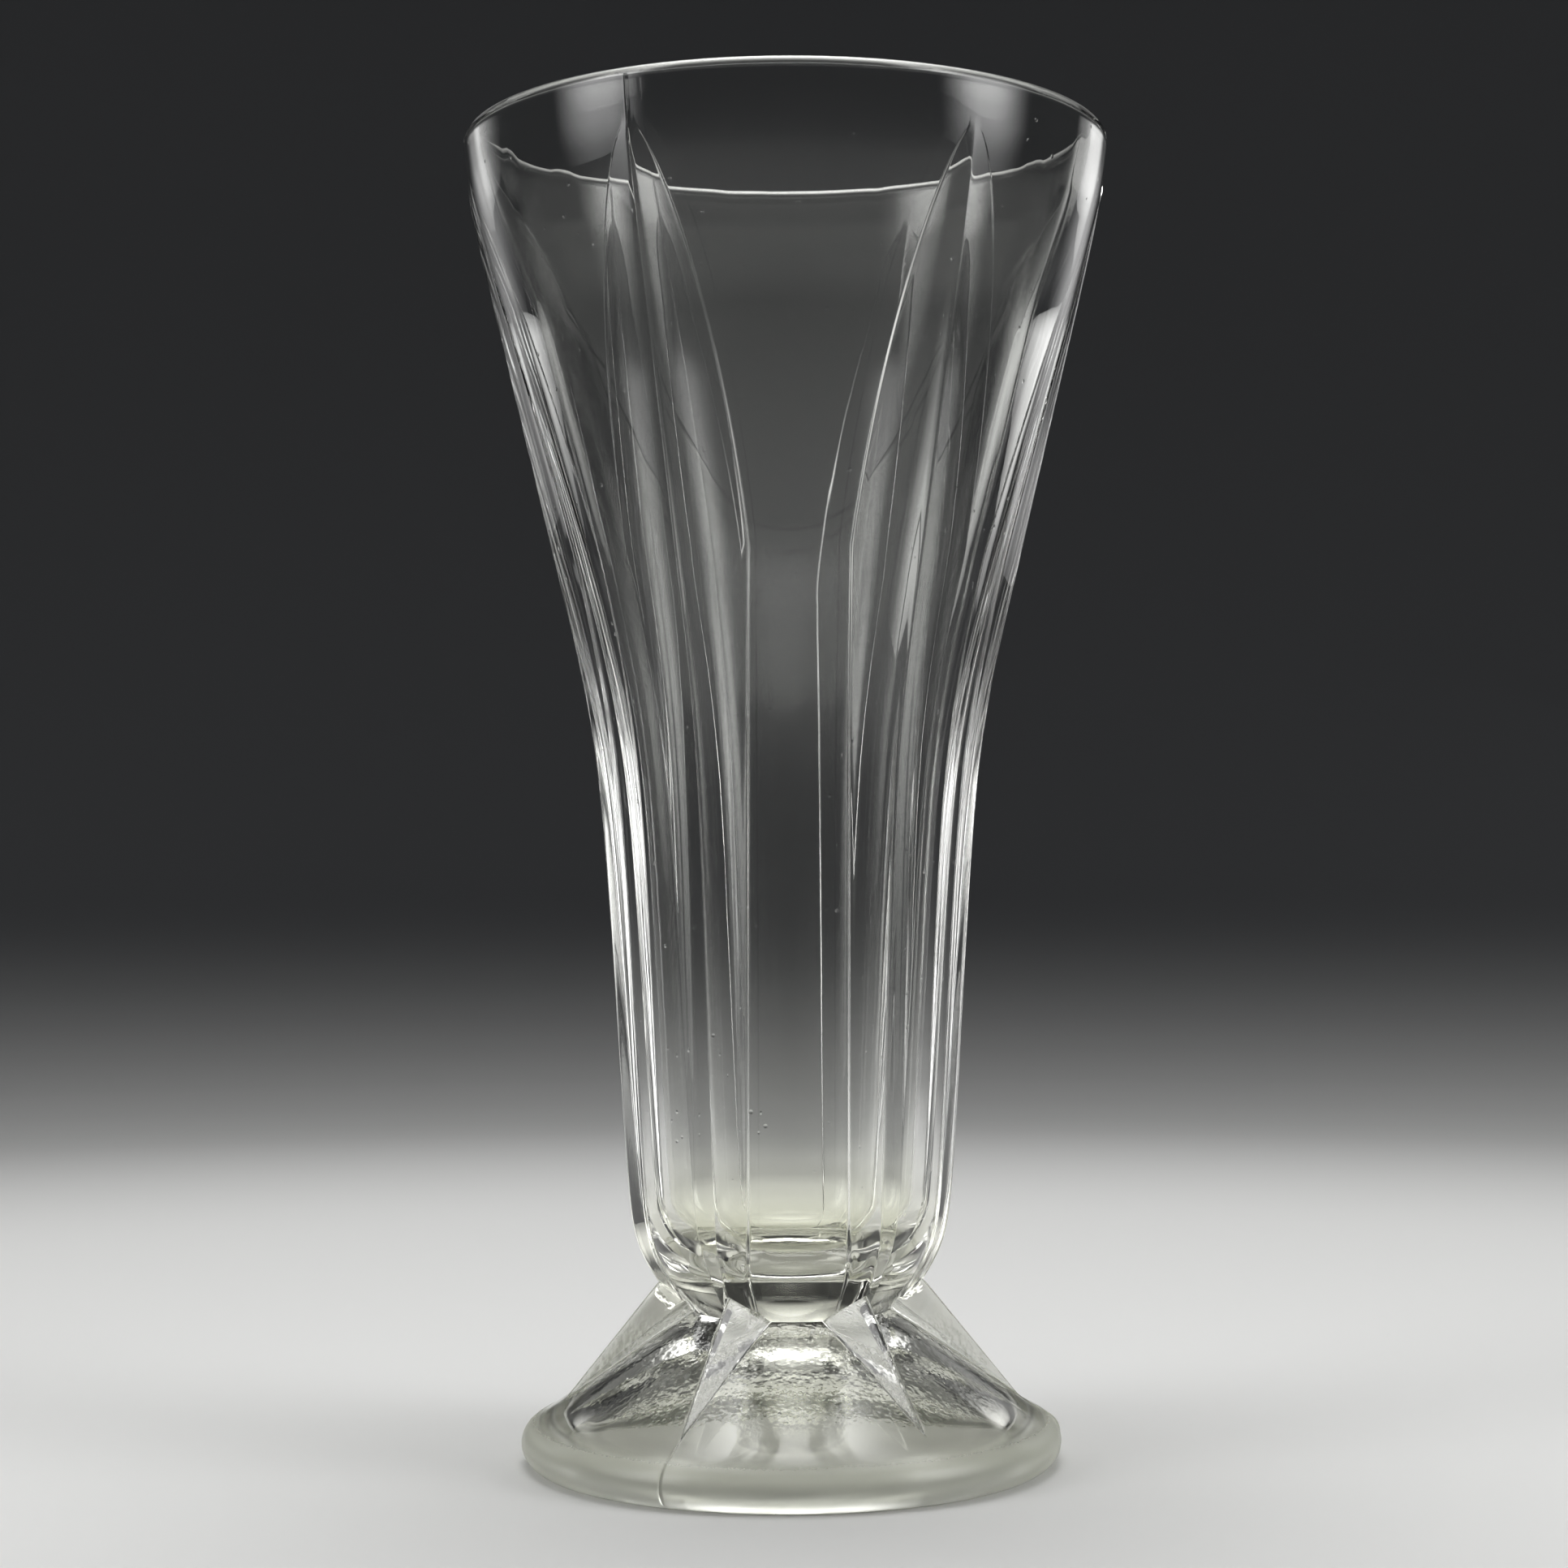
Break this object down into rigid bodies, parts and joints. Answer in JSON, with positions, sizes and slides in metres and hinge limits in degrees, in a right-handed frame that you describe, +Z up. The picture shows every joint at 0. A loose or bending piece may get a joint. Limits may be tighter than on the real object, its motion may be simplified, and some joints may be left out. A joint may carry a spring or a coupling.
{
  "type": "footed flower vase",
  "caption": "Clear pressed-glass flower vase: a round trumpet bowl with pointed spears between plain panels, on a hollow conical foot with matching kite-shaped ridges.",
  "frame": {"origin": "centre of the foot's resting ring, on the surface that the vase stands on", "axes": "+Z up along the vase's axis; +X through a spear and its kite; a plain panel faces -Y"},
  "size_m": [0.0974, 0.0974, 0.2],
  "materials": {
    "clear_glass": "fire-polished clear glass with a faint straw tint, satin on the foot's edge"
  },
  "bodies": {
    "root": {"bowl": "clear_glass", "foot": "clear_glass"}
  },
  "joints": []
}
